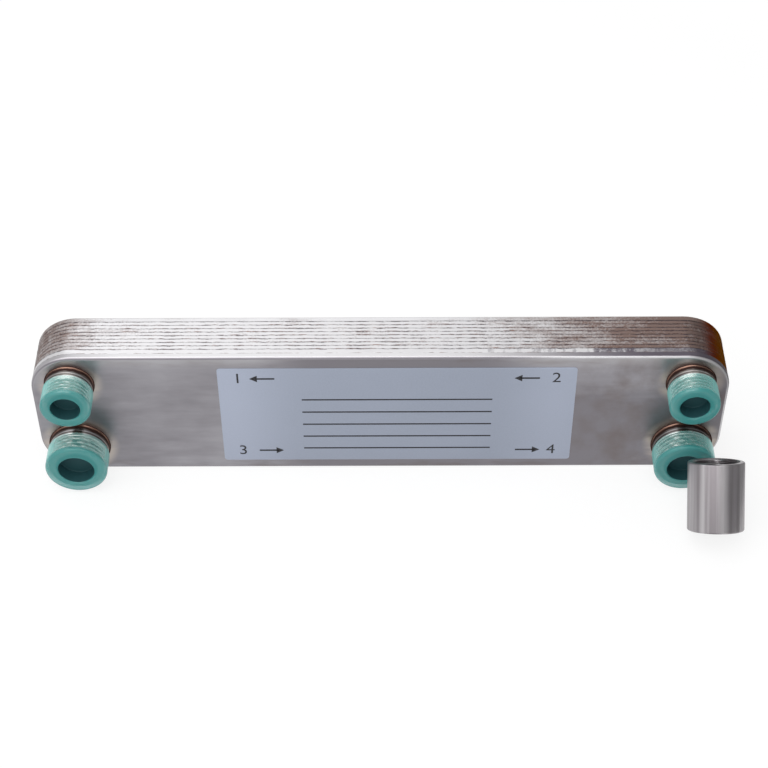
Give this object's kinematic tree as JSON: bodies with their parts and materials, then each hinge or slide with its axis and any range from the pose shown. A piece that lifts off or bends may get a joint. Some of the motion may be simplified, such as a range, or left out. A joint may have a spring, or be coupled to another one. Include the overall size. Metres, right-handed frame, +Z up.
{
  "type": "brazed plate wort chiller",
  "caption": "Brazed plate wort chiller on its long edge: nested ribbed plates between two covers, threaded wort and water ports under pull-off caps, and a loose pipe coupling.",
  "frame": {"origin": "on the floor at mid-length, in the middle of the flat on the front cover's skirt that the unit stands on", "axes": "+X along the length towards the wort inlet and water outlet, +Y from the ports to the back, +Z up"},
  "size_m": [0.3192, 0.0817, 0.072],
  "materials": {
    "cover_steel": "satin, cold rolled",
    "plate_steel": "satin, stained by brazing",
    "port_steel": "turned",
    "copper_braze": "oxidised copper braze",
    "cap_plastic": "translucent moulded polyethylene",
    "label_film": "satin silver film",
    "coupling_steel": "turned and brushed"
  },
  "bodies": {
    "chiller": {"front_cover_plate": "cover_steel", "channel_plate_1": "plate_steel", "channel_plate_2": "plate_steel", "channel_plate_3": "plate_steel", "channel_plate_4": "plate_steel", "channel_plate_5": "plate_steel", "channel_plate_6": "plate_steel", "channel_plate_7": "plate_steel", "channel_plate_8": "plate_steel", "channel_plate_9": "plate_steel", "end_plate": "plate_steel", "back_cover_plate": "cover_steel", "wort_out_port": "port_steel", "wort_in_port": "port_steel", "water_in_port": "port_steel", "water_out_port": "port_steel", "wort_out_braze_ring": "copper_braze", "wort_in_braze_ring": "copper_braze", "water_in_braze_ring": "copper_braze", "water_out_braze_ring": "copper_braze", "braze_seam_1": "copper_braze", "braze_seam_2": "copper_braze", "braze_seam_3": "copper_braze", "braze_seam_4": "copper_braze", "braze_seam_5": "copper_braze", "braze_seam_6": "copper_braze", "braze_seam_7": "copper_braze", "braze_seam_8": "copper_braze", "braze_seam_9": "copper_braze", "label": "label_film"},
    "cap_wort_out": {"wort_out_cap": "cap_plastic"},
    "cap_wort_in": {"wort_in_cap": "cap_plastic"},
    "cap_water_in": {"water_in_cap": "cap_plastic"},
    "cap_water_out": {"water_out_cap": "cap_plastic"},
    "coupling": {"pipe_coupling": "coupling_steel"}
  },
  "joints": [
    {"name": "wort_out_cap_pull", "type": "slide", "parent": "chiller", "child": "cap_wort_out", "axis": [0, -1, 0], "range_m": [0, 0.04]},
    {"name": "wort_in_cap_pull", "type": "slide", "parent": "chiller", "child": "cap_wort_in", "axis": [0, -1, 0], "range_m": [0, 0.04]},
    {"name": "water_in_cap_pull", "type": "slide", "parent": "chiller", "child": "cap_water_in", "axis": [0, -1, 0], "range_m": [0, 0.04]},
    {"name": "water_out_cap_pull", "type": "slide", "parent": "chiller", "child": "cap_water_out", "axis": [0, -1, 0], "range_m": [0, 0.04]},
    {"name": "coupling_slide", "type": "slide", "parent": "chiller", "child": "coupling", "axis": [0, -1, 0], "range_m": [0, 0.04]}
  ],
  "couplings": [
    {"joint": "coupling_slide", "follows": "water_out_cap_pull", "ratio": 1}
  ]
}
